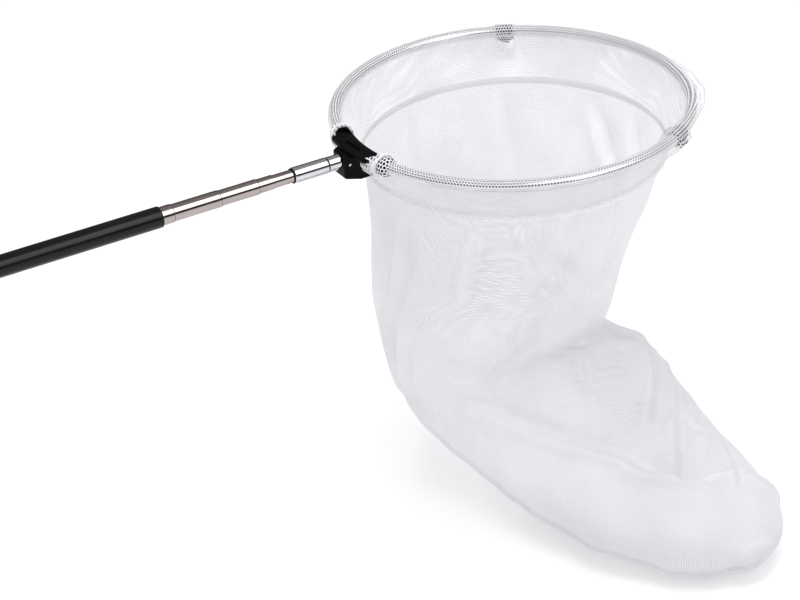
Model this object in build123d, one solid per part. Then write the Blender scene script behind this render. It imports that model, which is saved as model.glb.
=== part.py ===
"""Hand net: a five-stage telescopic pole, a screw-on hub and a folding tubular hoop with a deep mesh bag.

Millimetres, +Z up. The pole lies along +X with the grip centred on the origin. The hoop is level, a
little above the pole's axis; its open mouth faces +Z, and the bag hangs towards -Z with its tail laid
out towards -Y. Left is +Y and right is -Y, as the user sees the net along the pole.

The parts are made with the hoop's own plane at z = 0, and keep() lifts them all by POLE_DROP, so that
the finished pole lies on the X axis.
"""

import os
from math import cos, radians, sin

from build123d import *

os.makedirs("parts", exist_ok=True)

# ---- Driving dimensions ----------------------------------------------------------------------------

# Grip and pole. Stage 1 is the widest tube, fixed in the grip, and stage 5 the thinnest, at the tip.
GRIP_LENGTH = 290.0
GRIP_RADIUS = 9.5
GRIP_EDGE = 1.0
BUTT_CAP_LENGTH = 8.0
BUTT_SPIGOT = 11.0
STAGES = 5
FIRST_TUBE_RADIUS = 8.4
TUBE_STEP = 0.6
TUBE_WALL = 0.4
TUBE_SHOWN = [10.5, 45.0, 37.0, 15.6, 18.7]
TUBE_LENGTHS = [300.5, 290.0, 282.0, 274.0, 266.0]
RUNNING_CLEARANCE = 0.05
LIP_LENGTH = 1.5
TAIL_LENGTH = 30.0
BUSH_FLANGE = 2.0
BUSH_SPIGOT = 6.0
BUSH_WALL = 1.6

# Pole tip and the screwed joint of the net head.
COLLAR_RING = 1.0
COLLAR_LENGTH = 33.6
COLLAR_RADIUS = 7.4
COLLAR_SOCKET = 12.0
STUD_RADIUS = 4.0
STUD_THREAD_DEPTH = 0.5
STUD_THREAD_PITCH = 2.5
STUD_BEFORE_JOINT = 15.0
WASHER_THICKNESS = 0.8
FERRULE_LENGTH = 12.1
FERRULE_RADIUS = 7.1
FERRULE_SPIGOT_RADIUS = 6.0
FERRULE_SPIGOT = 10.0
NUT_RADIUS = 7.3
NUT_THICKNESS = 5.0

# Hoop: one circle of round tube in three equal arcs that meet at the hub and at two hinged knuckles.
HOOP_RADIUS = 163.0
POLE_DROP = 4.0
HOOP_TUBE_RADIUS = 5.5
HOOP_TUBE_WALL = 1.0
KNUCKLE_ANGLE = 60.0
HUB_ANGLE = 180.0

# Hub, with two arms that take the tube ends. The tube's line crosses it behind its middle.
HUB_LENGTH = 28.0
HUB_TO_TUBE = 19.7
HUB_BOTTOM = -18.5
HUB_TOP = 2.8
HUB_NOSE_HALF_WIDTH = 10.0
HUB_SHOULDER = 12.0
HUB_HALF_WIDTH = 18.0
ARM_RADIUS = 8.8
ARM_END = 15.6
ARM_SOCKET = 11.9
COVER_OFFSET = 4.7
COVER_END = 8.4
COVER_WIDTH = 17.0
COVER_HEIGHT = 3.8
COVER_SLOT = (3.6, 22.0, 1.4)
SCREW_RADIUS = 1.4
SCREW_HEAD_RADIUS = 2.8
SCREW_SPREAD = 11.0
RIVET_RADIUS = 1.2
RIVET_HEAD_RADIUS = 2.1
RIVET_ANGLE = 13.5
PIN_RADIUS = 1.5
PIN_RECESS = 0.8

# Knuckles. The hinge pins of both lie on one line along Y, below the tube, so the front arc folds under.
KNUCKLE_RADIUS = 7.0
KNUCKLE_REACH = 2.9
TUBE_STOP = 1.6
PARTING_GAP = 0.15
BARREL_RADIUS = 2.6
BARREL_DROP = 7.4
BARREL_EDGES = [-6.5, -2.15, 2.15, 6.5]
BARREL_GAP = 0.15
HINGE_PIN_RADIUS = 1.0
RELIEF = 0.3
WEB_BOTTOM = -7.2
WEB_TOP = -2.5
WEB_LENGTH = 6.5

# Mesh: a sleeve round the tube, a double header band below it and the bag sewn to the band.
SLEEVE_INNER = 5.8
SLEEVE_OUTER = 6.3
BAND_TOP = (162.0, -7.0)
BAND_BOTTOM = (140.0, -42.0)
MESH_WALL = 1.5

# ---- Values worked out from them -------------------------------------------------------------------

BUTT_X = -GRIP_LENGTH / 2
TUBE_RADII = [FIRST_TUBE_RADIUS - TUBE_STEP * i for i in range(STAGES)]
TUBE_FRONTS = [GRIP_LENGTH / 2 + sum(TUBE_SHOWN[: i + 1]) for i in range(STAGES)]
RING_X = TUBE_FRONTS[-1]
COLLAR_X = RING_X + COLLAR_RING
WASHER_X = COLLAR_X + COLLAR_LENGTH
FERRULE_X = WASHER_X + WASHER_THICKNESS
HUB_X = FERRULE_X + FERRULE_LENGTH
HUB_BACK_X = HUB_X + HUB_LENGTH
HOOP_X = HUB_X + HUB_TO_TUBE + HOOP_RADIUS
TUBE_FRONTS[-1] = COLLAR_X + COLLAR_SOCKET
TUBE_REARS = [front - length for front, length in zip(TUBE_FRONTS, TUBE_LENGTHS)]
HINGE_X = HOOP_X + HOOP_RADIUS * cos(radians(KNUCKLE_ANGLE))
HINGE_Y = HOOP_RADIUS * sin(radians(KNUCKLE_ANGLE))

PARTS = {}


# ---- Shapes used in several places -----------------------------------------------------------------


def rod(radius, x0, x1):
    """A round bar on the pole's axis."""
    return extrude(Plane.YZ.offset(x0) * Pos(0, -POLE_DROP) * Circle(radius), amount=x1 - x0)


def pipe(outer, inner, x0, x1):
    """A round tube on the pole's axis."""
    return rod(outer, x0, x1) - rod(inner, x0, x1)


def upright(radius, x, y, z0, z1):
    """A round bar along Z."""
    return extrude(Plane.XY.offset(z0) * Pos(x, y) * Circle(radius), amount=z1 - z0)


def crossbar(radius, x, z, y0, y1):
    """A round bar along Y."""
    plane = Plane(origin=(x, y0, z), x_dir=(1, 0, 0), z_dir=(0, 1, 0))
    return extrude(plane * Circle(radius), amount=y1 - y0)


def block(x0, x1, y0, y1, z0, z1):
    """A box given by its faces."""
    size = (x1 - x0, y1 - y0, z1 - z0)
    return Pos((x0 + x1) / 2, (y0 + y1) / 2, (z0 + z1) / 2) * Box(*size)


def on_hoop(angle):
    """The plane across the hoop tube at an angle from +X, with its x axis outwards and its y axis up."""
    c, s = cos(radians(angle)), sin(radians(angle))
    origin = (HOOP_X + HOOP_RADIUS * c, HOOP_RADIUS * s, 0)
    return Plane(origin=origin, x_dir=(c, s, 0), z_dir=(s, -c, 0))


def around_hoop(section, start, end):
    """A flat section swept along the hoop circle between two angles."""
    return revolve(on_hoop(start) * section, Axis((HOOP_X, 0, 0), (0, 0, 1)), end - start)


def keep(name, *pieces):
    """Lifts the pieces of one sub-part to their finished height and names it."""
    lifted = [Pos(0, 0, POLE_DROP) * piece for piece in pieces]
    shape = Compound(children=lifted) if len(lifted) > 1 else lifted[0]
    shape.label = name
    PARTS[name] = shape


# ---- Grip and telescopic pole ----------------------------------------------------------------------


def grip():
    sleeve = pipe(GRIP_RADIUS, FIRST_TUBE_RADIUS, BUTT_X, -BUTT_X)
    rims = sleeve.edges().filter_by(GeomType.CIRCLE).filter_by(lambda e: e.radius > GRIP_RADIUS - 0.1)
    keep("grip_sleeve", fillet(rims, GRIP_EDGE))


def butt_cap():
    cap = rod(GRIP_RADIUS, BUTT_X - BUTT_CAP_LENGTH, BUTT_X)
    cap = fillet(cap.edges().group_by(Axis.X)[0], BUTT_CAP_LENGTH * 0.5)
    bore = TUBE_RADII[0] - TUBE_WALL
    spigot = pipe(bore, bore - BUSH_WALL, BUTT_X, BUTT_X + BUTT_SPIGOT)
    keep("butt_cap", cap + spigot)


def stage_tube(i):
    """One pole stage: a swaged-in lip at its front keeps the next stage's wider tail inside."""
    radius, rear, front = TUBE_RADII[i], TUBE_REARS[i], TUBE_FRONTS[i]
    inner = radius - TUBE_WALL
    body_start = rear
    tube = None
    if i > 0:
        body_start = rear + TAIL_LENGTH
        tail = TUBE_RADII[i - 1] - TUBE_WALL - RUNNING_CLEARANCE
        tube = pipe(tail, tail - TUBE_WALL, rear, body_start)
    body = pipe(radius, inner, body_start, front)
    if i < STAGES - 1:
        body += pipe(radius, TUBE_RADII[i + 1] + RUNNING_CLEARANCE, front - LIP_LENGTH, front)
        rim = body.edges().group_by(Axis.X)[-1].sort_by(SortBy.RADIUS)[-1]
        body = fillet(rim, TUBE_WALL)
    keep(f"tube_{i + 1}", body + tube if tube else body)


def tail_bush(i):
    """The nylon bush in a stage's tail, which slides in the stage around it."""
    slide = TUBE_RADII[i - 1] - TUBE_WALL - RUNNING_CLEARANCE
    spigot = slide - TUBE_WALL
    rear = TUBE_REARS[i]
    bush = rod(slide, rear - BUSH_FLANGE, rear) + rod(spigot, rear, rear + BUSH_SPIGOT)
    keep(f"tail_bush_{i + 1}", bush - rod(spigot - BUSH_WALL, rear - BUSH_FLANGE, rear + BUSH_SPIGOT))


# ---- Pole tip and screwed joint --------------------------------------------------------------------


def threaded_bar(x0, x1):
    """The stud, with its thread as a row of ridges."""
    bar = rod(STUD_RADIUS - STUD_THREAD_DEPTH, x0, x1)
    ridges = int((x1 - x0) / STUD_THREAD_PITCH)
    for k in range(ridges):
        start = x0 + k * STUD_THREAD_PITCH + STUD_THREAD_PITCH / 4
        bar += rod(STUD_RADIUS, start, start + STUD_THREAD_PITCH / 2)
    return bar


def ferrule_pin_shape(beyond=0.0):
    """The pin across the ferrule, or its hole when made longer."""
    x = HUB_X + FERRULE_SPIGOT / 2
    slant = (HUB_HALF_WIDTH - HUB_NOSE_HALF_WIDTH) / HUB_SHOULDER
    edge = HUB_NOSE_HALF_WIDTH + slant * FERRULE_SPIGOT / 2 - PIN_RECESS + beyond
    return crossbar(PIN_RADIUS, x, -POLE_DROP, -edge, edge)


def pole_tip():
    thin = TUBE_RADII[-1]
    keep("collar_ring", pipe(COLLAR_RADIUS - 0.5, thin, RING_X, COLLAR_X))

    collar = rod(COLLAR_RADIUS, COLLAR_X, WASHER_X)
    collar = fillet(collar.edges().filter_by(GeomType.CIRCLE), 0.8)
    collar -= rod(thin, COLLAR_X, COLLAR_X + COLLAR_SOCKET)
    collar -= rod(STUD_RADIUS, COLLAR_X + COLLAR_SOCKET, WASHER_X)
    keep("tip_collar", collar)

    keep("lock_washer", pipe(COLLAR_RADIUS - 0.6, STUD_RADIUS, WASHER_X, FERRULE_X))


def head_joint():
    stud_end = HUB_X + FERRULE_SPIGOT + NUT_THICKNESS
    pin = ferrule_pin_shape()

    ferrule = rod(FERRULE_RADIUS, FERRULE_X, HUB_X)
    ferrule = fillet(ferrule.edges().filter_by(GeomType.CIRCLE), 0.7)
    ferrule += rod(FERRULE_SPIGOT_RADIUS, HUB_X - 1, HUB_X + FERRULE_SPIGOT)
    ferrule -= rod(STUD_RADIUS, FERRULE_X, HUB_X + FERRULE_SPIGOT)
    keep("head_ferrule", ferrule - pin)

    stud = threaded_bar(FERRULE_X - STUD_BEFORE_JOINT, stud_end)
    keep("threaded_stud", stud - pin)

    nut_x = HUB_X + FERRULE_SPIGOT
    outline = Plane.YZ.offset(nut_x) * Pos(0, -POLE_DROP) * RegularPolygon(NUT_RADIUS, 6)
    nut = extrude(outline, amount=NUT_THICKNESS)
    keep("stud_nut", nut - rod(STUD_RADIUS, nut_x, stud_end))
    keep("ferrule_pin", pin)


# ---- Hub -------------------------------------------------------------------------------------------


def cover_shape():
    """The cover follows the hoop: a flat bar with round ends."""
    half = COVER_WIDTH / 2
    section = Pos(COVER_OFFSET, HUB_TOP + COVER_HEIGHT / 2) * Rectangle(COVER_WIDTH, COVER_HEIGHT)
    cover = around_hoop(section, HUB_ANGLE - COVER_END, HUB_ANGLE + COVER_END)
    for angle in (HUB_ANGLE - COVER_END, HUB_ANGLE + COVER_END):
        plane = on_hoop(angle)
        end = plane.origin + plane.x_dir * COVER_OFFSET
        cover += upright(half, end.X, end.Y, HUB_TOP, HUB_TOP + COVER_HEIGHT)
    return fillet(cover.edges().group_by(Axis.Z)[-1], 1.6)


def screw_places():
    return [(HUB_BACK_X - 8.0, side * SCREW_SPREAD) for side in (-1, 1)]


def cover_screw(x, y):
    shank = upright(SCREW_RADIUS, x, y, HUB_BOTTOM, HUB_TOP + COVER_HEIGHT - 1.4)
    return shank + upright(SCREW_HEAD_RADIUS, x, y, HUB_BOTTOM, HUB_BOTTOM + 2.0)


def socket_rivet(side):
    place = on_hoop(HUB_ANGLE + side * RIVET_ANGLE).origin
    edge = ARM_RADIUS + 0.5
    rivet = upright(RIVET_RADIUS, place.X, place.Y, -edge, edge)
    for low, high in ((-edge, 0.8 - edge), (edge - 0.8, edge)):
        rivet += upright(RIVET_HEAD_RADIUS, place.X, place.Y, low, high)
    return rivet


def hub_block():
    """The middle of the hub, narrow at the ferrule and wide at the arms."""
    nose, wide = HUB_NOSE_HALF_WIDTH, HUB_HALF_WIDTH
    shoulder = HUB_X + HUB_SHOULDER
    half = [(HUB_X, nose), (shoulder, wide), (HUB_BACK_X - 2, wide)]
    outline = half + [(x, -y) for x, y in reversed(half)]
    floor = Plane.XY.offset(HUB_BOTTOM) * make_face(Polyline(*outline, close=True))
    body = extrude(floor, amount=HUB_TOP - HUB_BOTTOM)
    body = fillet(body.edges().filter_by(Axis.Z), 3.0)
    return fillet(body.edges().group_by(Axis.Z)[0], 2.4)


def hub(rivets, screws):
    arms = around_hoop(Circle(ARM_RADIUS), HUB_ANGLE - ARM_END, HUB_ANGLE + ARM_END)
    arms = fillet(arms.edges().filter_by(GeomType.CIRCLE), 1.0)
    above = block(HUB_X - 5, HUB_BACK_X + 9, -80, 80, HUB_TOP, HUB_TOP + 12)
    flat = COVER_END + 3.2
    seat = around_hoop(Pos(0, HUB_TOP + 10) * Rectangle(40, 20), HUB_ANGLE - flat, HUB_ANGLE + flat)
    body = (hub_block() - above) + (arms - seat)
    for side in (-1, 1):
        ends = sorted((HUB_ANGLE + side * ARM_SOCKET, HUB_ANGLE + side * (ARM_END + 1)))
        body -= around_hoop(Circle(HOOP_TUBE_RADIUS), *ends)
    body -= rod(FERRULE_SPIGOT_RADIUS, HUB_X, HUB_X + FERRULE_SPIGOT)
    nut_x = HUB_X + FERRULE_SPIGOT
    pocket_floor = -POLE_DROP - NUT_RADIUS
    body -= block(nut_x, nut_x + NUT_THICKNESS, -NUT_RADIUS, NUT_RADIUS, pocket_floor, HUB_TOP)
    body -= ferrule_pin_shape(beyond=3.0)
    for cut in rivets + screws:
        body -= cut
    keep("hub_body", body)


def hub_cover(screws):
    depth, length, sunk = COVER_SLOT
    middle = HOOP_X - HOOP_RADIUS - COVER_OFFSET
    top = HUB_TOP + COVER_HEIGHT
    slot = block(middle - depth / 2, middle + depth / 2, -length / 2, length / 2, top - sunk, top + 1)
    cover = cover_shape() - slot
    for screw in screws:
        cover -= screw
    keep("hub_cover", cover)


# ---- Hoop arcs and knuckles ------------------------------------------------------------------------


def arc_tube(start, end):
    outer = around_hoop(Circle(HOOP_TUBE_RADIUS), start, end)
    return outer - around_hoop(Circle(HOOP_TUBE_RADIUS - HOOP_TUBE_WALL), start, end)


def hoop_arcs(rivets):
    inner = KNUCKLE_ANGLE + TUBE_STOP
    left = arc_tube(inner, HUB_ANGLE - ARM_SOCKET)
    right = arc_tube(HUB_ANGLE + ARM_SOCKET, 360 - inner)
    for rivet in rivets:
        left -= rivet
        right -= rivet
    keep("hoop_arc_left", left)
    keep("hoop_arc_right", right)
    reach = KNUCKLE_ANGLE - TUBE_STOP
    keep("hoop_arc_front", arc_tube(-reach, reach))


def barrels(side, grow=0.0, middle=False):
    """The hinge barrels of one knuckle: the outer two, or the middle one, grown to cut a relief."""
    e = BARREL_EDGES
    spans = [(e[1], e[2])] if middle else [(e[0], e[1]), (e[2], e[3])]
    gap = BARREL_GAP - grow
    shape = None
    for low, high in spans:
        low, high = side * HINGE_Y + low + gap, side * HINGE_Y + high - gap
        bar = crossbar(BARREL_RADIUS + grow, HINGE_X, -BARREL_DROP, low, high)
        shape = bar if shape is None else shape + bar
    return shape


def knuckle_half(side, front):
    """One half of a knuckle: a capped collar on a tube end, with its share of the hinge barrels."""
    sign = 1 if front else -1
    near = KNUCKLE_ANGLE - sign * KNUCKLE_REACH
    far = KNUCKLE_ANGLE + sign * (KNUCKLE_REACH - 0.4)
    span = sorted((side * near, side * far))
    collar = around_hoop(Circle(KNUCKLE_RADIUS), *span)
    y0, y1 = side * HINGE_Y + BARREL_EDGES[0], side * HINGE_Y + BARREL_EDGES[-1]
    web = block(*sorted((HINGE_X, HINGE_X + sign * WEB_LENGTH)), y0, y1, WEB_BOTTOM, WEB_TOP)
    face = HINGE_X + sign * PARTING_GAP
    beyond = block(*sorted((face, face - sign * 40)), y0 - 20, y1 + 20, -30, 30)
    socket_ends = sorted((side * (KNUCKLE_ANGLE - sign * TUBE_STOP), side * (near - sign)))
    half = (collar + web) - beyond + barrels(side, middle=front)
    half -= around_hoop(Circle(HOOP_TUBE_RADIUS), *socket_ends)
    half -= barrels(side, grow=RELIEF, middle=not front)
    bore = HINGE_PIN_RADIUS + (RUNNING_CLEARANCE if front else 0.0)
    return half - crossbar(bore, HINGE_X, -BARREL_DROP, y0 - 5, y1 + 5)


def knuckles():
    for name, side in (("left", 1), ("right", -1)):
        keep(f"knuckle_{name}_rear", knuckle_half(side, front=False))
        keep(f"knuckle_{name}_front", knuckle_half(side, front=True))
        y0, y1 = side * HINGE_Y + BARREL_EDGES[0], side * HINGE_Y + BARREL_EDGES[-1]
        keep(f"hinge_pin_{name}", crossbar(HINGE_PIN_RADIUS, HINGE_X, -BARREL_DROP, y0 + 0.1, y1 - 0.1))


# ---- Mesh ------------------------------------------------------------------------------------------


def sleeve_skin(start, end):
    outer = around_hoop(Circle(SLEEVE_OUTER), start, end)
    return outer - around_hoop(Circle(SLEEVE_INNER), start, end)


def sleeves():
    inner = KNUCKLE_ANGLE + KNUCKLE_REACH + 0.5
    outer = HUB_ANGLE - ARM_END - 0.5
    reach = KNUCKLE_ANGLE - KNUCKLE_REACH - 0.5
    keep("net_sleeve_left", sleeve_skin(inner, outer))
    keep("net_sleeve_right", sleeve_skin(360 - outer, 360 - inner))
    keep("net_sleeve_front", sleeve_skin(-reach, reach))


def header_band():
    """A tapering ring of doubled mesh, open at the hub and notched at the knuckles."""
    (top_r, top_z), (low_r, low_z) = BAND_TOP, BAND_BOTTOM
    corners = [(top_r, top_z), (low_r, low_z), (low_r - MESH_WALL, low_z), (top_r - MESH_WALL, top_z)]
    profile = make_face(Polyline(*corners, close=True))
    plane = Plane(origin=(HOOP_X, 0, 0), x_dir=(1, 0, 0), z_dir=(0, -1, 0))
    band = revolve(plane * profile, Axis((HOOP_X, 0, 0), (0, 0, 1)), 360)
    band -= around_hoop(Circle(ARM_RADIUS + 1.0), HUB_ANGLE - ARM_END - 1, HUB_ANGLE + ARM_END + 1)
    wide = HUB_HALF_WIDTH + 2
    band -= block(HUB_X - 5, HUB_BACK_X + 2, -wide, wide, HUB_BOTTOM - 2, 10)
    for side in (-1, 1):
        y = side * HINGE_Y
        band -= block(HINGE_X - 14, HINGE_X + 14, y - 16, y + 16, -BARREL_DROP - BARREL_RADIUS - 2.5, 10)
    keep("net_band", band)


# The bag's stations from the band seam to the toe: how far the centre is ahead of the hoop's, across it
# and above it, how far the bag has turned from hanging (0) to lying (90), and its two half widths.
BAG_STATIONS = [
    (0, 0, -42.5, 0, 140, 140),
    (-10, 6, -120, 0, 124, 124),
    (-20, 9, -200, 6, 113, 113),
    (-16, 5, -258, 25, 102, 106),
    (10, -29, -304, 50, 107, 90),
    (25, -97, -332, 75, 111, 58),
    (32, -153, -345, 88, 99, 45),
    (45, -208, -350, 90, 88, 40),
    (54, -250, -354, 90, 67, 36),
    (63, -277, -359, 90, 44, 28),
    (66, -292, -363, 90, 20, 14),
]


def bag_section(station, inset):
    ahead, across, above, turned, wide, deep = station
    normal = (0, -sin(radians(turned)), -cos(radians(turned)))
    plane = Plane(origin=(HOOP_X + ahead, across, above), x_dir=(1, 0, 0), z_dir=normal)
    return plane * Ellipse(wide - inset, deep - inset)


def bag():
    """One closed skin from the seam to the toe, open at the top."""
    outside = loft([bag_section(s, 0) for s in BAG_STATIONS])
    toe = BAG_STATIONS[-1]
    inner_toe = (toe[0], toe[1] + MESH_WALL, *toe[2:])
    inner = BAG_STATIONS[:-1] + [inner_toe]
    inside = loft([bag_section(s, MESH_WALL) for s in inner])
    keep("net_bag", outside - inside)


# ---- Assembly --------------------------------------------------------------------------------------


def build():
    grip()
    butt_cap()
    for i in range(STAGES):
        stage_tube(i)
    for i in range(1, STAGES):
        tail_bush(i)
    pole_tip()
    head_joint()
    rivets = [socket_rivet(side) for side in (-1, 1)]
    screws = [cover_screw(x, y) for x, y in screw_places()]
    hub(rivets, screws)
    hub_cover(screws)
    hoop_arcs(rivets)
    keep("cover_screws", *screws)
    keep("socket_rivets", *rivets)
    knuckles()
    sleeves()
    header_band()
    bag()


build()
for part_name, part_shape in PARTS.items():
    export_step(part_shape, f"parts/{part_name}.step")
print("hoop centre x", HOOP_X, "hinge x, y", HINGE_X, HINGE_Y)
for i in range(1, STAGES):
    shown = TUBE_FRONTS[i] - TUBE_FRONTS[i - 1]
    furthest = TUBE_LENGTHS[i] - shown - TAIL_LENGTH - LIP_LENGTH - 0.3
    print("stage", i + 1, "shown", shown, "travel out", furthest, "radius", TUBE_RADII[i])
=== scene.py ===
from math import asin, atan2, cos, pi, radians, sin, sqrt

import bpy
import numpy as np
from mathutils import Matrix, Vector, noise


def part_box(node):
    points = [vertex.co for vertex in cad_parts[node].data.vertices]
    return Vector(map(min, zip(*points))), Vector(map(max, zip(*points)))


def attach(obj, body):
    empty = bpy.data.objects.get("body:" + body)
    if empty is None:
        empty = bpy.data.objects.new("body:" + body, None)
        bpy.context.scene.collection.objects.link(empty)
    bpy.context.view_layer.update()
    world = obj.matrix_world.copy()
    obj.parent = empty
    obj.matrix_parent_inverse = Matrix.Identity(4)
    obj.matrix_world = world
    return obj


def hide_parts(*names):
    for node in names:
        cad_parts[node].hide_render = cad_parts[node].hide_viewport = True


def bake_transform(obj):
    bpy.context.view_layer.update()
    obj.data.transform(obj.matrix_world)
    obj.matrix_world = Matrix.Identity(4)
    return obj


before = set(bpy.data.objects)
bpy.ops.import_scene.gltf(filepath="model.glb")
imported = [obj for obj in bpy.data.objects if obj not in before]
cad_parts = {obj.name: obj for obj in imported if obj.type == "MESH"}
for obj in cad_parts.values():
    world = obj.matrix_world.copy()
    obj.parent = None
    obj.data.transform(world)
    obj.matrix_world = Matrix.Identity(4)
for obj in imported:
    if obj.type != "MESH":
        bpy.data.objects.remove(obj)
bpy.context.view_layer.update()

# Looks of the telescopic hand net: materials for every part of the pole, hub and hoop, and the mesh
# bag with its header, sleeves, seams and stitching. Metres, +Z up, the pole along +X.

# ---- Sizes and places ------------------------------------------------------------------------------

HOOP_RADIUS = 0.163
HOOP_TUBE_RADIUS = 0.0055
ARC_LOW, ARC_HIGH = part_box("hoop_arc_front")
HOOP_X = ARC_HIGH.x - HOOP_RADIUS - HOOP_TUBE_RADIUS
HOOP_Z = (ARC_LOW.z + ARC_HIGH.z) / 2
HOOP_CENTRE = Vector((HOOP_X, 0, HOOP_Z))
HINGE = sum(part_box("hinge_pin_left"), Vector()) / 2
KNUCKLE_ANGLE = 60.0
HUB_HALF_WIDTH = 0.0183
HUB_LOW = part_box("hub_body")[0].z
FLOOR_GAP = 0.0008
CLOTH_OFF_FLOOR = 0.0006
FLOOR_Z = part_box("net_bag")[0].z - FLOOR_GAP
FLOOR_HALF = 24.0

# The cloth: a knitted mesh of six-sided cells, with the width of a cell and of its threads.
CELL = 0.0020
THREAD = 0.00090
HEADER_THREAD = 0.00052
SLEEVE_CELL = 0.0027
SLEEVE_THREAD = 0.00080
TAPE_THREAD = 0.00105
WHITE, SHADE = (0.80, 0.80, 0.82), (0.74, 0.74, 0.765)
TAPE_WHITE, TAPE_SHADE = (0.94, 0.94, 0.95), (0.90, 0.90, 0.91)

# The flat sizes for the cloth: length round the hoop or the bag, and width. They were picked to suit the modelled
# pieces. The header's width is its drop; along its slant it is about 0.047.
HEADER_CUT = (0.980, 0.042)

# The sleeves: their radius over tube, knuckle and hub arm, how far they bulge over the hinge barrel and
# flare at the hem, and the angles, in degrees from dead ahead, of the arm's end, of the hem's two edges and
# of the flare. SLEEVE_TURNS goes round the tube, from its top.
SLEEVE_RADIUS = 0.0062
KNUCKLE_SLEEVE_RADIUS = 0.0078
BARREL_COVER = 0.0036
ARM_SLEEVE_RADIUS = 0.0096
ARM_END = 164.4
HEM_START = 166.0
HEM_END = 168.4
HEM_SLANT = 4.0
HEM_STEP = 0.0008
HEM_TURNS = 46
FLARE = 0.0016
FLARE_START = 167.5
SLEEVE_TURNS = np.linspace(radians(-132), radians(118), 30)

# Where the front sleeve hangs loose outside the tube: its middle and half its length in degrees.
LOOSE_MIDDLE = -27.0
LOOSE_HALF = 28.0
LOOSE_REACH = 0.0066

# The seam of header and bag, and its zigzag stitches.
SEAM_RADIUS = 0.140
SEAM_Z = -0.042
SEAM_WIDTH = 0.0080
STITCH_PITCH = 0.0046
STITCH_THREAD = 0.00050

# The pole: how much thinner each stage is, and the thin dark ring at the lip of a stage, painted shade for the
# shadowed gap where the next stage comes out.
TUBE_STEP = 0.0006
GAP_SHADE_INSET = 0.0003
GAP_SHADE_RADIUS = 0.00024

# The header: how far its layers swell between hoop and seam, and stand out over the knuckles, beside the
# hub's arms and everywhere; the radius its mesh is laid out at, and the shift of the second layer's cells.
HEADER_SWELL = 0.0040
HEADER_OVER_KNUCKLE = 0.0058
HEADER_AT_ARM = 0.0028
HEADER_GAP = 0.0004
MEAN_HEADER_RADIUS = 0.15
LAYER_SHIFT = 0.0007

# How finely the cloth is divided.
BAG_ROWS = 250
BAG_COLUMNS = 300
TOE_ROWS = 10
HEADER_ROWS = 30
HOOP_COLUMNS = 480

# The bag from the band seam to the toe: how far the centre is ahead of the hoop's, across it and above
# it, how far the bag has turned from hanging (0) to lying (90 degrees), and its two half widths.
BAG_STATIONS = [
    (0.000, 0.000, -0.0425, 0, 0.140, 0.140),
    (-0.010, 0.006, -0.120, 0, 0.125, 0.124),
    (-0.022, 0.009, -0.200, 6, 0.116, 0.113),
    (-0.021, 0.005, -0.258, 25, 0.107, 0.107),
    (0.008, -0.031, -0.298, 50, 0.114, 0.095),
    (0.025, -0.097, -0.328, 75, 0.111, 0.063),
    (0.032, -0.153, -0.341, 88, 0.099, 0.050),
    (0.045, -0.208, -0.349, 90, 0.087, 0.038),
    (0.054, -0.248, -0.354, 90, 0.068, 0.036),
    (0.063, -0.274, -0.359, 90, 0.045, 0.029),
    (0.066, -0.288, -0.363, 90, 0.021, 0.015),
]
TOE_CAP = 0.006
TOE_STEP = 0.0020

# Creases of the bag: height, width, and the places they run through, as the distance down the bag and
# the angle round it in degrees. The last is the ridge of the side seam.
CREASES = [
    (0.0052, 0.0060, [(0.011, 190), (0.124, 182), (0.231, 164)]),
    (0.0060, 0.0070, [(0.144, 193), (0.267, 160)]),
    (0.0060, 0.0055, [(0.012, 236), (0.116, 289)]),
    (0.0052, 0.0050, [(0.013, 262), (0.118, 250), (0.190, 244)]),
    (0.0045, 0.0052, [(0.013, 222), (0.096, 217)]),
    (0.0052, 0.0070, [(0.147, 250), (0.271, 218)]),
    (0.0064, 0.0065, [(0.213, 329), (0.398, 286)]),
    (0.0054, 0.0055, [(0.316, 326), (0.473, 278)]),
    (0.0060, 0.0068, [(0.270, 204), (0.371, 227), (0.433, 245), (0.500, 262)]),
    (0.0040, 0.0045, [(0.476, 262), (0.511, 347)]),
    (0.0042, 0.0045, [(0.430, 318), (0.500, 300)]),
    (0.0048, 0.0060, [(0.230, 270), (0.330, 262)]),
    (0.0066, 0.0070, [(0.007, 22), (0.060, 0), (0.120, 352)]),
    (0.0058, 0.0062, [(0.004, 0), (0.070, 336)]),
    (0.0050, 0.0070, [(0.006, 60), (0.110, 48)]),
    (0.0050, 0.0070, [(0.006, 104), (0.150, 96)]),
    (0.0030, 0.0024, [(0.240, 158), (0.391, 154), (0.500, 150), (0.565, 146)]),
]

# ---- Camera, light and floor -----------------------------------------------------------------------

VIEW_AZIMUTH = -28.79
VIEW_ELEVATION = 30.32
VIEW_ROLL = -3.41
VIEW_DISTANCE = 2.1
VIEW_OFFSET = (-0.1030, -0.1795)
LENS = 103.4


def make_camera():
    a, e, roll = radians(VIEW_AZIMUTH), radians(VIEW_ELEVATION), radians(VIEW_ROLL)
    back = Vector((sin(a) * cos(e), -cos(a) * cos(e), sin(e)))
    level = (-back).cross(Vector((0, 0, 1))).normalized()
    upright = level.cross(-back)
    right = level * cos(roll) + upright * sin(roll)
    up = upright * cos(roll) - level * sin(roll)
    camera = bpy.data.objects.new("camera", bpy.data.cameras.new("camera"))
    camera.data.lens = LENS
    camera.location = HOOP_CENTRE + back * VIEW_DISTANCE + right * VIEW_OFFSET[0] + up * VIEW_OFFSET[1]
    camera.rotation_euler = Matrix((right, up, back)).transposed().to_euler()
    bpy.context.collection.objects.link(camera)
    bpy.context.scene.camera = camera


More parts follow.
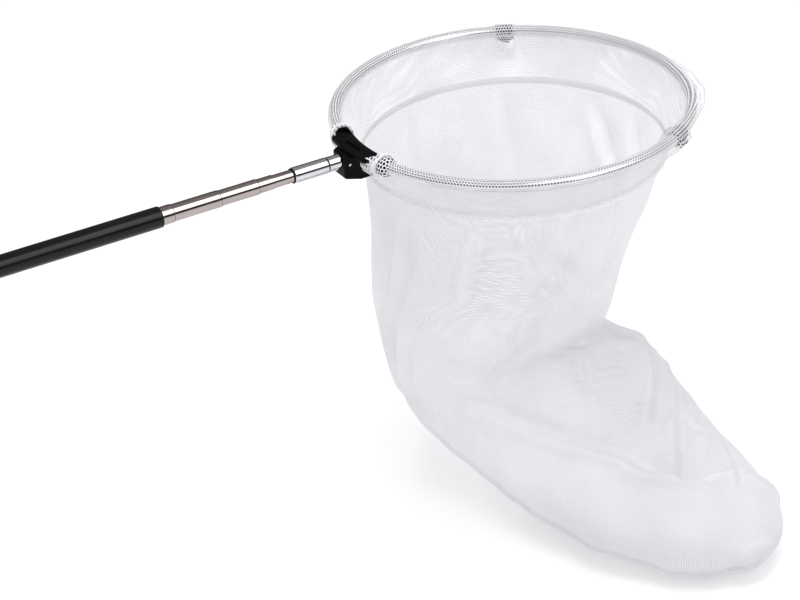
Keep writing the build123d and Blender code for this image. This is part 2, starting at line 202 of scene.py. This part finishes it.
def softbox(name, place, target, size, power, mirrored=True, lights=True):
    lamp = bpy.data.lights.new(name, "AREA")
    lamp.shape = "RECTANGLE"
    lamp.size, lamp.size_y = size
    lamp.energy = power
    box = bpy.data.objects.new(name, lamp)
    box.location = place
    box.rotation_euler = (Vector(target) - Vector(place)).to_track_quat("-Z", "Y").to_euler()
    box.visible_glossy = mirrored
    box.visible_diffuse = lights
    bpy.context.collection.objects.link(box)


def make_lights():
    """Soft light from overhead and in front, and a wide wall of light that only the shiny parts mirror."""
    softbox("wall", (1.31, -1.66, 2.10), (0.30, 0.0, 0.0), (2.2, 2.3), 47, lights=False)
    softbox("front", (0.60, -2.20, 1.80), (0.50, 0.0, -0.1), (2.0, 1.4), 10, mirrored=False)
    softbox("overhead", (0.46, 0.00, 2.60), (0.50, -0.05, -0.2), (1.8, 1.8), 49, mirrored=False)


def make_world():
    """White all round for the camera and for soft light; a grey room for the metal to mirror."""
    world = bpy.data.worlds.new("studio")
    world.use_nodes = True
    bpy.context.scene.world = world
    nodes, links = world.node_tree.nodes, world.node_tree.links
    place = nodes.new("ShaderNodeTexCoord")
    split = nodes.new("ShaderNodeSeparateXYZ")
    links.new(place.outputs["Generated"], split.inputs[0])
    room = nodes.new("ShaderNodeValToRGB")
    room.color_ramp.elements[0].position = 0.50
    room.color_ramp.elements[0].color = (0.015, 0.015, 0.016, 1)
    room.color_ramp.elements[1].position = 0.97
    room.color_ramp.elements[1].color = (0.42, 0.41, 0.41, 1)
    middle = room.color_ramp.elements.new(0.62)
    middle.color = (0.10, 0.097, 0.095, 1)
    height = nodes.new("ShaderNodeMapRange")
    height.inputs["From Min"].default_value = -1
    links.new(split.outputs["Z"], height.inputs["Value"])
    links.new(height.outputs["Result"], room.inputs["Fac"])
    kind = nodes.new("ShaderNodeLightPath")
    mix = nodes.new("ShaderNodeMix")
    mix.data_type = "RGBA"
    mix.inputs["A"].default_value = (0.77, 0.775, 0.79, 1)
    links.new(kind.outputs["Is Glossy Ray"], mix.inputs["Factor"])
    links.new(room.outputs["Color"], mix.inputs["B"])
    background = nodes["Background"]
    links.new(mix.outputs["Result"], background.inputs["Color"])
    background.inputs["Strength"].default_value = 1.0


def make_floor():
    mesh = bpy.data.meshes.new("floor")
    square = ((-1, -1), (1, -1), (1, 1), (-1, 1))
    corners = [(HOOP_X + x * FLOOR_HALF, y * FLOOR_HALF, FLOOR_Z) for x, y in square]
    mesh.from_pydata(corners, [], [(0, 1, 2, 3)])
    floor = bpy.data.objects.new("floor", mesh)
    bpy.context.collection.objects.link(floor)
    recipe = Recipe("pale_floor", (0.72, 0.72, 0.72), 0.8)
    recipe.vary(scale=3.0, low=(0.71, 0.71, 0.715), high=(0.73, 0.73, 0.73))
    recipe.set("Emission Color", (1.0, 1.0, 1.0, 1))
    recipe.set("Emission Strength", 0.26)
    mesh.materials.append(recipe.material)


# ---- Materials -------------------------------------------------------------------------------------


class Recipe:
    """A material put together from nodes round one Principled shader."""

    def __init__(self, name, color, roughness, metallic=0.0, **sockets):
        self.material = bpy.data.materials.new(name)
        self.material.use_nodes = True
        self.tree = self.material.node_tree
        self.shader = self.tree.nodes["Principled BSDF"]
        self.set("Base Color", (*color, 1))
        self.set("Roughness", roughness)
        self.set("Metallic", metallic)
        for socket, value in sockets.items():
            self.set(socket.replace("_", " "), value)

    def set(self, socket, value):
        self.shader.inputs[socket].default_value = value

    def add(self, kind, *inputs, **settings):
        """A node with its settings, and its first inputs linked or set in order."""
        node = self.tree.nodes.new("ShaderNode" + kind)
        for key, value in settings.items():
            setattr(node, key, value)
        for socket, value in zip(node.inputs, inputs):
            self.feed(socket, value)
        return node

    def feed(self, socket, value):
        if isinstance(value, bpy.types.NodeSocket):
            self.tree.links.new(value, socket)
        elif value is not None:
            socket.default_value = value

    def math(self, operation, *values):
        return self.add("Math", *values, operation=operation).outputs[0]

    def vector(self, operation, *values):
        return self.add("VectorMath", *values, operation=operation).outputs[0]

    def place(self, stretch=(1, 1, 1)):
        """Object coordinates, stretched: a small number draws the pattern out along that axis."""
        return self.vector("MULTIPLY", self.add("TexCoord").outputs["Object"], stretch)

    def noise(self, scale, detail=3.0, stretch=(1, 1, 1)):
        texture = self.add("TexNoise")
        self.feed(texture.inputs["Vector"], self.place(stretch))
        texture.inputs["Scale"].default_value = scale
        texture.inputs["Detail"].default_value = detail
        return texture.outputs["Fac"]

    def spread(self, value, low, high):
        """Noise, which mostly lies between 0.3 and 0.7, stretched to run from low to high."""
        return self.add("MapRange", value, 0.3, 0.7, low, high).outputs["Result"]

    def vary(self, scale, low, high, stretch=(1, 1, 1)):
        """The base colour wanders between two colours."""
        mix = self.add("Mix", data_type="RGBA")
        self.feed(mix.inputs["Factor"], self.spread(self.noise(scale, stretch=stretch), 0, 1))
        mix.inputs["A"].default_value = (*low, 1)
        mix.inputs["B"].default_value = (*high, 1)
        self.feed(self.shader.inputs["Base Color"], mix.outputs["Result"])

    def roughen(self, scale, low, high, stretch=(1, 1, 1)):
        value = self.spread(self.noise(scale, stretch=stretch), low, high)
        self.feed(self.shader.inputs["Roughness"], value)

    def bump(self, height, distance):
        node = self.add("Bump")
        node.inputs["Strength"].default_value = 1.0
        node.inputs["Distance"].default_value = distance
        self.feed(node.inputs["Height"], height)
        self.feed(self.shader.inputs["Normal"], node.outputs["Normal"])


def satin_grip():
    recipe = Recipe("satin_black_grip", (0.004, 0.004, 0.004), 0.30)
    recipe.vary(60, (0.0025, 0.0025, 0.003), (0.0055, 0.005, 0.0055), stretch=(0.3, 1, 1))
    recipe.roughen(140, 0.19, 0.27, stretch=(0.25, 1, 1))
    recipe.bump(recipe.noise(2200, detail=2), 0.00002)
    recipe.set("Specular IOR Level", 0.24)
    return recipe.material


def moulded_black():
    recipe = Recipe("moulded_black_plastic", (0.003, 0.003, 0.003), 0.42)
    recipe.vary(90, (0.002, 0.002, 0.0022), (0.0045, 0.004, 0.0045))
    recipe.roughen(220, 0.36, 0.50)
    recipe.bump(recipe.noise(1500, detail=4), 0.00006)
    recipe.set("Specular IOR Level", 0.06)
    return recipe.material


def drawn_metal(name, low, high, smooth, rough, streaks=(0.02, 1, 1)):
    """Polished tube: faint drawing lines, a little smudging."""
    recipe = Recipe(name, high, smooth, metallic=1.0)
    recipe.vary(40, low, high)
    recipe.roughen(420, smooth, rough, stretch=streaks)
    recipe.bump(recipe.noise(1800, detail=2, stretch=streaks), 0.000004)
    return recipe.material


def hoop_aluminium():
    """Round-bent tube: fine lines along the bend, found from the distance to the hoop's middle."""
    recipe = Recipe("hoop_aluminium", (0.84, 0.84, 0.85), 0.16, metallic=1.0)
    offset = recipe.vector("SUBTRACT", recipe.add("TexCoord").outputs["Object"], tuple(HOOP_CENTRE))
    x, y, z = recipe.add("SeparateXYZ", offset).outputs
    square = recipe.math("ADD", recipe.math("MULTIPLY", x, x), recipe.math("MULTIPLY", y, y))
    radius = recipe.math("SQRT", square)
    angle = recipe.math("ARCTAN2", y, x)
    along = recipe.add("CombineXYZ", radius, recipe.math("MULTIPLY", angle, 0.004), z).outputs[0]
    lines = recipe.add("TexNoise")
    recipe.feed(lines.inputs["Vector"], along)
    lines.inputs["Scale"].default_value = 2600
    recipe.feed(recipe.shader.inputs["Roughness"], recipe.spread(lines.outputs["Fac"], 0.11, 0.24))
    recipe.bump(lines.outputs["Fac"], 0.000005)
    recipe.vary(30, (0.78, 0.78, 0.79), (0.88, 0.88, 0.89))
    return recipe.material


def plain_nylon():
    recipe = Recipe("natural_nylon", (0.75, 0.74, 0.70), 0.45, Subsurface_Weight=0.1)
    recipe.vary(80, (0.70, 0.69, 0.65), (0.78, 0.77, 0.73))
    recipe.bump(recipe.noise(900), 0.00003)
    return recipe.material


def mesh_cloth(name, light, dark, thread, cell=CELL):
    """Knitted mesh of six-sided cells: the thread is there along the cells' edges and nowhere else."""
    recipe = Recipe(name, light, 0.55, Sheen_Weight=0.35, Sheen_Roughness=0.5)
    width, height = 1.0, sqrt(3)
    uv = recipe.add("UVMap", uv_map="cloth").outputs[0]
    cells = recipe.vector("MULTIPLY", uv, (1 / cell, 1 / cell, 0))
    half = (width / 2, height / 2, 0.5)
    low = (-width / 2, -height / 2, -0.5)

    def from_centre(shift):
        near = recipe.vector("WRAP", recipe.vector("ADD", cells, shift), half, low)
        split = recipe.add("SeparateXYZ", recipe.vector("ABSOLUTE", near))
        x, y = split.outputs[0], split.outputs[1]
        slant = recipe.math("MULTIPLY_ADD", y, height / 2, recipe.math("MULTIPLY", x, 0.5))
        return recipe.math("MAXIMUM", x, slant)

    centre = recipe.math("MINIMUM", from_centre((0, 0, 0)), from_centre((width / 2, height / 2, 0)))
    edge = recipe.math("SUBTRACT", 0.5, centre)
    reach = thread / cell / 2
    cover = recipe.add("MapRange", edge, reach * 1.15, reach * 0.85, 0.0, 1.0, interpolation_type="SMOOTHSTEP")
    recipe.feed(recipe.shader.inputs["Alpha"], cover.outputs["Result"])
    profile = recipe.add("MapRange", edge, reach, 0.0, 0.0, 1.0, interpolation_type="SMOOTHSTEP")
    recipe.bump(profile.outputs["Result"], 0.00010)
    recipe.vary(25, dark, light)
    return recipe.material


def stitching_thread():
    recipe = Recipe("stitching_thread", (0.88, 0.88, 0.90), 0.5, Sheen_Weight=0.3)
    recipe.vary(600, (0.80, 0.80, 0.83), (0.92, 0.92, 0.93))
    recipe.bump(recipe.noise(5000, detail=1, stretch=(0.4, 1, 1)), 0.00008)
    return recipe.material


def dress_parts():
    """Gives every hard part its material, by the part's name."""
    grip, black, nylon = satin_grip(), moulded_black(), plain_nylon()
    nickel = drawn_metal("polished_nickel", (0.38, 0.335, 0.32), (0.46, 0.41, 0.39), 0.05, 0.11)
    chrome = drawn_metal("bright_chrome", (0.58, 0.58, 0.60), (0.68, 0.68, 0.70), 0.04, 0.09)
    zinc = drawn_metal("zinc_plate", (0.50, 0.50, 0.49), (0.64, 0.64, 0.63), 0.25, 0.40)
    aluminium = hoop_aluminium()
    finishes = {
        grip: ["grip_sleeve"],
        black: ["butt_cap", "hub_body", "hub_cover", "knuckle_", "collar_ring", "lock_washer"],
        nickel: ["tube_"],
        chrome: ["tip_collar", "head_ferrule", "socket_rivets"],
        zinc: ["threaded_stud", "stud_nut", "ferrule_pin", "cover_screws", "hinge_pin_"],
        nylon: ["tail_bush_"],
        aluminium: ["hoop_arc_"],
    }
    for material, starts in finishes.items():
        for name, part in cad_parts.items():
            if name.startswith(tuple(starts)):
                part.data.materials.clear()
                part.data.materials.append(material)


# ---- Mesh building ---------------------------------------------------------------------------------


def smoothstep(value):
    value = np.clip(value, 0, 1)
    return value * value * (3 - 2 * value)


def bump(value, start, end, fade):
    """One between start and end, falling to nothing outside them."""
    return smoothstep((value - start + fade) / fade) * smoothstep((end + fade - value) / fade)


def ripples(points, scale, shift=0.0):
    """A soft random number at each of many points, about -0.5 to 0.5."""
    flat = points.reshape(-1, 3)
    values = [noise.noise(Vector((x * scale[0], y * scale[1], z * scale[2] + shift))) for x, y, z in flat]
    return np.array(values).reshape(points.shape[:-1])


def new_piece(name, points, faces, material, uvs=None):
    """A smooth-shaded mesh object; uvs has one pair for each point of each face, in order."""
    mesh = bpy.data.meshes.new(name)
    mesh.from_pydata(points.tolist(), [], faces.tolist())
    if uvs is not None:
        layer = mesh.uv_layers.new(name="cloth")
        layer.data.foreach_set("uv", np.ascontiguousarray(uvs, dtype=np.float32).ravel())
    mesh.shade_smooth()
    mesh.materials.append(material)
    piece = bpy.data.objects.new(name, mesh)
    bpy.context.collection.objects.link(piece)
    return piece


def cloth_grid(name, points, uv, material, closed=False, keep=None):
    """A sheet from a grid of points. A closed one joins its last column to its first, and its uv has one
    more column, so that the pattern runs on to the join. Only faces starting at points in keep are made."""
    rows, columns = points.shape[:2]
    last = columns if closed else columns - 1
    r, c = np.meshgrid(np.arange(rows - 1), np.arange(last), indexing="ij")
    r, c = r.ravel(), c.ravel()
    if keep is not None:
        r, c = r[keep[r, c]], c[keep[r, c]]
    ahead = (c + 1) % columns
    faces = np.stack([r * columns + c, r * columns + ahead, (r + 1) * columns + ahead, (r + 1) * columns + c], 1)
    corners = np.stack([uv[r, c], uv[r, c + 1], uv[r + 1, c + 1], uv[r + 1, c]], 1)
    return new_piece(name, points.reshape(-1, 3), faces, material, corners)


def around(angle, radius, z):
    """Points round the hoop's upright axis; the angle is in degrees, 0 ahead and 90 left."""
    a = np.radians(angle)
    height = np.broadcast_to(HOOP_Z + z, a.shape)
    return np.stack([HOOP_X + radius * np.cos(a), radius * np.sin(a), height], -1)


# ---- Bag -------------------------------------------------------------------------------------------


def smooth_rows(rows, count):
    """A smooth curve through rows of numbers, taken at even steps along the first three of them."""
    rows = np.array(rows, float)
    step = np.linalg.norm(np.diff(rows[:, :3], axis=0), axis=1)
    at = np.concatenate([[0], np.cumsum(step)])
    slope = np.gradient(rows, at, axis=0)
    want = np.linspace(0, at[-1], count)
    i = np.clip(np.searchsorted(at, want, side="right") - 1, 0, len(at) - 2)
    t = ((want - at[i]) / step[i])[:, None]
    start, end = rows[i], rows[i + 1]
    reach = step[i][:, None]
    return (
        start * (2 * t**3 - 3 * t**2 + 1)
        + slope[i] * reach * (t**3 - 2 * t**2 + t)
        + end * (3 * t**2 - 2 * t**3)
        + slope[i + 1] * reach * (t**3 - t**2)
    ), want


def bag_points():
    """The bag's smooth shape as a grid of rows from seam to toe, and each row's distance down the bag."""
    rows, down = smooth_rows(BAG_STATIONS, BAG_ROWS)
    angle = np.linspace(0, 2 * pi, BAG_COLUMNS, endpoint=False)
    turned = np.radians(rows[:, 3])
    travel = np.stack([0 * turned, -np.sin(turned), -np.cos(turned)], 1)
    below = np.stack([0 * turned, np.cos(turned), -np.sin(turned)], 1)
    centre = rows[:, :3] + np.array(HOOP_CENTRE)
    wide, deep = rows[:, 4], rows[:, 5]
    x_axis = np.array([1.0, 0, 0])
    lying = smoothstep(rows[:, 3] / 90)[:, None]
    s, c = np.sin(angle)[None, :], np.cos(angle)[None, :]
    squarer = 1 - 0.25 * lying * np.clip(s, 0, 1)
    side = np.sign(c) * np.abs(c) ** squarer * wide[:, None]
    depth = s * deep[:, None]
    points = centre[:, None, :] + side[..., None] * x_axis + depth[..., None] * below[:, None, :]
    # The toe rounds over from the last row to a point.
    last = points[-1]
    middle = last.mean(0)
    turns = [i / TOE_ROWS * pi / 2 for i in range(1, TOE_ROWS + 1)]
    rings = [middle + (last - middle) * cos(turn) + travel[-1] * TOE_CAP * sin(turn) for turn in turns]
    points = np.concatenate([points, rings])
    down = np.concatenate([down, down[-1] + np.arange(1, TOE_ROWS + 1) * TOE_STEP])
    return points, down, angle


def grid_normals(points):
    along = np.gradient(points, axis=0)
    across = np.roll(points, -1, axis=1) - np.roll(points, 1, axis=1)
    normal = np.cross(across, along)
    length = np.linalg.norm(normal, axis=2, keepdims=True)
    return normal / np.maximum(length, 1e-12)


def crease(d, along, start, end, height, width):
    """A ridge with a hollow beside it along one straight piece, dying out at its ends."""
    run = np.array(end) - np.array(start)
    length = np.hypot(*run)
    step = run / length
    at = (d - start[0]) * step[0] + (along - start[1]) * step[1]
    aside = (along - start[1]) * step[0] - (d - start[0]) * step[1]
    ridge = np.exp(-((aside / width) ** 2)) - 0.7 * np.exp(-(((aside - 1.9 * width) / (1.3 * width)) ** 2))
    fade = smoothstep((at + 0.012) / 0.024) * smoothstep((length + 0.012 - at) / 0.024)
    return height * ridge * fade


def bag_creases(points, down, angle, girth):
    """How far each point of the bag stands out from its smooth shape."""
    d, a = np.meshgrid(down, np.degrees(angle), indexing="ij")
    soft = ripples(points, (16, 16, 5))
    fine = ripples(points, (38, 38, 13), 7.0)
    out = 0.006 * soft + 0.003 * fine
    for height, width, places in CREASES:
        for (d0, a0), (d1, a1) in zip(places, places[1:]):
            scale = girth[:, None] / 360
            nearest = (a - a0 + 180) % 360 - 180
            turn = (a1 - a0 + 180) % 360 - 180
            out = out + crease(d, nearest * scale, (d0, 0.0), (d1, turn * scale.mean()), height, width)
    return smoothstep(d / 0.05) * out


def make_bag(cloth):
    points, down, angle = bag_points()
    normal = grid_normals(points)
    out = np.sign(((points - points.mean(1, keepdims=True)) * normal).sum(2).mean())
    girth = np.linalg.norm(np.roll(points, -1, axis=1) - points, axis=2).sum(1)
    points = points + (normal * out) * bag_creases(points, down, angle, girth)[..., None]
    points[..., 2] = np.maximum(points[..., 2], FLOOR_Z + CLOTH_OFF_FLOOR)
    steps = np.linalg.norm(np.roll(points, -1, axis=1) - points, axis=2)
    round_length = np.concatenate([np.zeros((len(points), 1)), np.cumsum(steps, axis=1)], axis=1)
    slant = np.linalg.norm(np.diff(points, axis=0), axis=2).mean(1)
    slant = np.concatenate([[0], np.cumsum(slant)])
    u = round_length - round_length[:, -1:] / 2
    v = np.broadcast_to(slant[:, None], u.shape)
    bag = cloth_grid("bag_mesh", points, np.stack([u, v], 2), cloth, closed=True)
    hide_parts("net_bag")
    return bag


# ---- Header band, seam and sleeves -----------------------------------------------------------------


def header_legs():
    """Where the doubled cloth leaves the hoop tube on its outer and inner side, as (radius, z)."""
    reach = Vector((HOOP_RADIUS - SEAM_RADIUS, -SEAM_Z))
    lean = asin(SLEEVE_RADIUS / reach.length)
    heading = atan2(reach.y, reach.x)
    run = sqrt(reach.length**2 - SLEEVE_RADIUS**2)
    ends = [heading - lean, heading + lean]
    return [(SEAM_RADIUS + run * cos(h), SEAM_Z + run * sin(h)) for h in ends]


def make_band(cloth):
    """The two layers of the header from the hoop tube down to the seam, open where the hub comes in."""
    layers = []
    angle = np.linspace(0, 360, HOOP_COLUMNS, endpoint=False)
    t, a = np.meshgrid(np.linspace(0, 1, HEADER_ROWS), angle, indexing="ij")
    turned = np.abs((a + 180) % 360 - 180)
    for number, (radius, z) in enumerate(header_legs()):
        out = 1 - 2 * number
        r = radius + (SEAM_RADIUS - radius) * t
        height = z + (SEAM_Z - z) * t
        swell = HEADER_SWELL * ripples(around(a, r, height), (26, 26, 12), number * 3.0) * np.sin(pi * t)
        knuckle = bump(turned, KNUCKLE_ANGLE - 2.5, KNUCKLE_ANGLE + 2.5, 2.0) * smoothstep(1.5 - 2.4 * t)
        arm = bump(turned, ARM_END + 1, 181, 2.5) * smoothstep(1.2 - 1.6 * t)
        stand_off = HEADER_OVER_KNUCKLE * knuckle + HEADER_AT_ARM * arm + HEADER_GAP
        points = around(a, r + swell + out * stand_off, height)
        u = np.radians(np.linspace(0, 360, HOOP_COLUMNS + 1))[None, :] * MEAN_HEADER_RADIUS
        v = np.linspace(0, HEADER_CUT[1], HEADER_ROWS)[:, None] + number * LAYER_SHIFT
        uv = np.stack(np.broadcast_arrays(u, v), 2)
        beside = (np.abs(points[..., 1]) > HUB_HALF_WIDTH) | (points[..., 0] > HOOP_X)
        keep = beside | (points[..., 2] < HUB_LOW - 0.0005)
        layers.append(cloth_grid(f"header_layer_{number + 1}", points, uv, cloth, closed=True, keep=keep))
    return layers


def sleeve_radius(turned):
    """How wide the sleeve is at an angle from dead ahead: wider over the knuckles, wider on the arms."""
    knuckle = bump(turned, KNUCKLE_ANGLE - 3.2, KNUCKLE_ANGLE + 3.2, 1.6)
    arm = smoothstep((turned - ARM_END + 1.6) / 1.8)
    hem = smoothstep((turned - FLARE_START) / 3.0)
    radius = SLEEVE_RADIUS + (KNUCKLE_SLEEVE_RADIUS - SLEEVE_RADIUS) * knuckle
    return radius + (ARM_SLEEVE_RADIUS - SLEEVE_RADIUS) * arm + FLARE * hem


def hem_edge(t):
    """The angle where the cloth starts beside the hub: at the cover's end on top, further in outside."""
    return HEM_END + HEM_SLANT * smoothstep((-t - radians(20)) / radians(60))


def knuckle_edge(t, gap):
    """The angle where a sleeve parts at the knuckle, in the plane of the hinge."""
    r = HOOP_RADIUS - KNUCKLE_SLEEVE_RADIUS * np.sin(t)
    return np.degrees(np.arccos((HINGE.x - HOOP_X + gap) / r))


def sleeve_points(a, t, side, grow=0.0):
    """Points on the sleeve at the angles a from dead ahead, and t round the tube from its top."""
    radius = sleeve_radius(a) + grow
    signed = a * side
    r = HOOP_RADIUS - radius * np.sin(t)
    z = radius * np.cos(t)
    place = around(signed, r, z)
    loose = np.cos(np.clip((signed - LOOSE_MIDDLE) / LOOSE_HALF, -1, 1) * pi / 2) ** 2
    loose = loose * smoothstep((radians(40) - t) / radians(80)) * smoothstep((t + radians(140)) / radians(50))
    loose = loose * (LOOSE_REACH + 0.0024 * ripples(place, (36, 36, 36)))
    barrel = bump(a, KNUCKLE_ANGLE - 2.6, KNUCKLE_ANGLE + 2.6, 1.6) * smoothstep((-t - radians(75)) / radians(45))
    slack = 0.0012 * np.clip(ripples(place, (45, 45, 45), 5.0), 0, 1)
    r = r + loose - slack * np.sin(t) + BARREL_COVER * barrel
    return around(signed, r, z + slack * np.cos(t) + 0.25 * loose - 0.4 * BARREL_COVER * barrel)


def sleeve_grid(name, first, last, side, cloth, grow=0.0):
    """Cloth over the hoop tube between two edges, open underneath where the header hangs from it."""
    t = SLEEVE_TURNS[None, :]
    start, end = np.broadcast_to(first, t.shape), np.broadcast_to(last, t.shape)
    rows = max(6, int(np.abs(end - start).max() * 1.6))
    a = start + (end - start) * np.linspace(0, 1, rows)[:, None]
    turned = np.abs(a)
    points = sleeve_points(turned, t + 0 * a, np.where(a < 0, -1, 1) * side, grow)
    uv = np.stack(np.broadcast_arrays(np.radians(a) * HOOP_RADIUS, t * SLEEVE_RADIUS), 2)
    return cloth_grid(name, points, uv, cloth)


def zigzag(name, first, last, side, thread):
    """Dense stitching back and forth over the sleeve between two edges."""
    t = np.linspace(SLEEVE_TURNS[2], SLEEVE_TURNS[-4], HEM_TURNS * 6)
    swing = np.abs(np.linspace(0, HEM_TURNS, len(t)) % 2 - 1)
    a = np.interp(t, SLEEVE_TURNS, first) * swing + np.interp(t, SLEEVE_TURNS, last) * (1 - swing)
    path = sleeve_points(a, t, side, HEM_STEP)
    middle = around(a * side, HOOP_RADIUS, 0.0)
    return thread_line(name, path, path - middle, STITCH_THREAD, thread)


def make_sleeves(cloth, thread):
    """Three sleeves that part at the knuckles; each rear one ends in a stitched hem beside the hub."""
    pieces = []
    rear, front = knuckle_edge(SLEEVE_TURNS, -0.0002), knuckle_edge(SLEEVE_TURNS, 0.0002)
    hub_edge = hem_edge(SLEEVE_TURNS)
    hem_inner, stitched_end = (hub_edge + HEM_START) / 2, np.full_like(hub_edge, HEM_START)
    for name, side in (("left", 1), ("right", -1)):
        sleeve = sleeve_grid(f"sleeve_{name}", rear, hub_edge, side, cloth)
        hem = sleeve_grid(f"sleeve_hem_{name}", hem_inner, hub_edge, side, cloth, grow=HEM_STEP)
        stitches = zigzag(f"hem_stitches_{name}", hem_inner, stitched_end, side, thread)
        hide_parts(f"net_sleeve_{name}")
        for piece in (sleeve, hem, stitches):
            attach(piece, "head")
        pieces += [sleeve, hem, stitches]
    sleeve = sleeve_grid("sleeve_front", -front, front, 1, cloth)
    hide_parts("net_sleeve_front")
    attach(sleeve, "hoop_front")
    return pieces + [sleeve]


def make_seam(tape, thread):
    """The seam of band and bag: a narrow tape with zigzag stitching over it."""
    across = np.linspace(-0.5, 0.5, 5)
    angle = np.linspace(0, 360, HOOP_COLUMNS, endpoint=False)
    t, a = np.meshgrid(across, angle, indexing="ij")
    points = around(a, SEAM_RADIUS + 0.0007 - 0.002 * t, SEAM_Z + t * SEAM_WIDTH)
    u = np.radians(np.linspace(0, 360, HOOP_COLUMNS + 1))[None, :] * SEAM_RADIUS
    v = across[:, None] * SEAM_WIDTH
    strip = cloth_grid("seam_tape", points, np.stack(np.broadcast_arrays(u, v), 2), tape, closed=True)
    count = int(2 * pi * SEAM_RADIUS / STITCH_PITCH) * 2
    steps = np.arange(count * 4) / 4
    swing = np.abs(steps % 2 - 1) - 0.5
    path = around(steps / count * 360, SEAM_RADIUS + 0.0012, SEAM_Z + swing * SEAM_WIDTH * 0.9)
    path = np.concatenate([path, path[:1]])
    stitches = thread_line("seam_stitches", path, path - np.array(HOOP_CENTRE), STITCH_THREAD, thread)
    return [strip, stitches]


def thread_line(name, path, outward, radius, material, sides=5):
    """A round thread along a path; outward says roughly which way is away from the cloth."""
    ahead = np.gradient(path, axis=0)
    ahead /= np.linalg.norm(ahead, axis=1, keepdims=True)
    outward = outward - ahead * (outward * ahead).sum(1, keepdims=True)
    outward /= np.linalg.norm(outward, axis=1, keepdims=True)
    across = np.cross(ahead, outward)
    turn = np.linspace(0, 2 * pi, sides, endpoint=False)
    ring = outward[:, None] * np.cos(turn)[None, :, None] + across[:, None] * np.sin(turn)[None, :, None]
    points = path[:, None] + ring * radius
    r, c = np.meshgrid(np.arange(len(path) - 1), np.arange(sides), indexing="ij")
    r, c = r.ravel(), c.ravel()
    next_c = (c + 1) % sides
    faces = np.stack([r * sides + c, (r + 1) * sides + c, (r + 1) * sides + next_c, r * sides + next_c], 1)
    return new_piece(name, points.reshape(-1, 3), faces, material)


def make_gap_shade_rings(material):
    """A thin dark ring where a stage of the pole comes out of the lip around it: painted shade for the shadowed
    gap there. The last stage has none.
    """
    low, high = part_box("tube_1")
    turn = np.linspace(0, 2 * pi, 97)
    circle = np.stack([np.zeros_like(turn), np.cos(turn), np.sin(turn)], 1)
    for i, body in enumerate(("handle", "stage_2", "stage_3")):
        radius = (high.z - low.z) / 2 - i * TUBE_STEP - GAP_SHADE_INSET
        centre = np.array((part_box(f"tube_{i + 1}")[1].x, 0, (low.z + high.z) / 2))
        line = thread_line(f"gap_shade_ring_{i + 1}", centre + circle * radius, circle, GAP_SHADE_RADIUS, material, 8)
        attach(line, body)


def fold_with_hoop(piece):
    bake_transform(piece)
    count = len(piece.data.vertices)
    place = np.zeros(count * 3, np.float32)
    piece.data.vertices.foreach_get("co", place)
    place = place.reshape(-1, 3)


# ---- Making it -------------------------------------------------------------------------------------

make_camera()
make_lights()
make_world()
make_floor()
dress_parts()
bag_cloth = mesh_cloth("white_mesh", WHITE, SHADE, THREAD)
header_cloth = mesh_cloth("header_mesh", WHITE, SHADE, HEADER_THREAD)
sleeve_cloth = mesh_cloth("sleeve_mesh", WHITE, SHADE, SLEEVE_THREAD, SLEEVE_CELL)
tape_cloth = mesh_cloth("seam_tape_mesh", TAPE_WHITE, TAPE_SHADE, TAPE_THREAD, SLEEVE_CELL)
thread = stitching_thread()
bag = make_bag(bag_cloth)
header = make_band(header_cloth)
seam = make_seam(tape_cloth, thread)
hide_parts("net_band")
for piece in (bag, *header, *seam):
    fold_with_hoop(piece)
sleeves = make_sleeves(sleeve_cloth, thread)
# Thin dark rings at the lips of the pole's stages: painted shade for the gaps between them.
make_gap_shade_rings(bpy.data.materials["moulded_black_plastic"])
bpy.context.scene.view_settings.view_transform = "Standard"
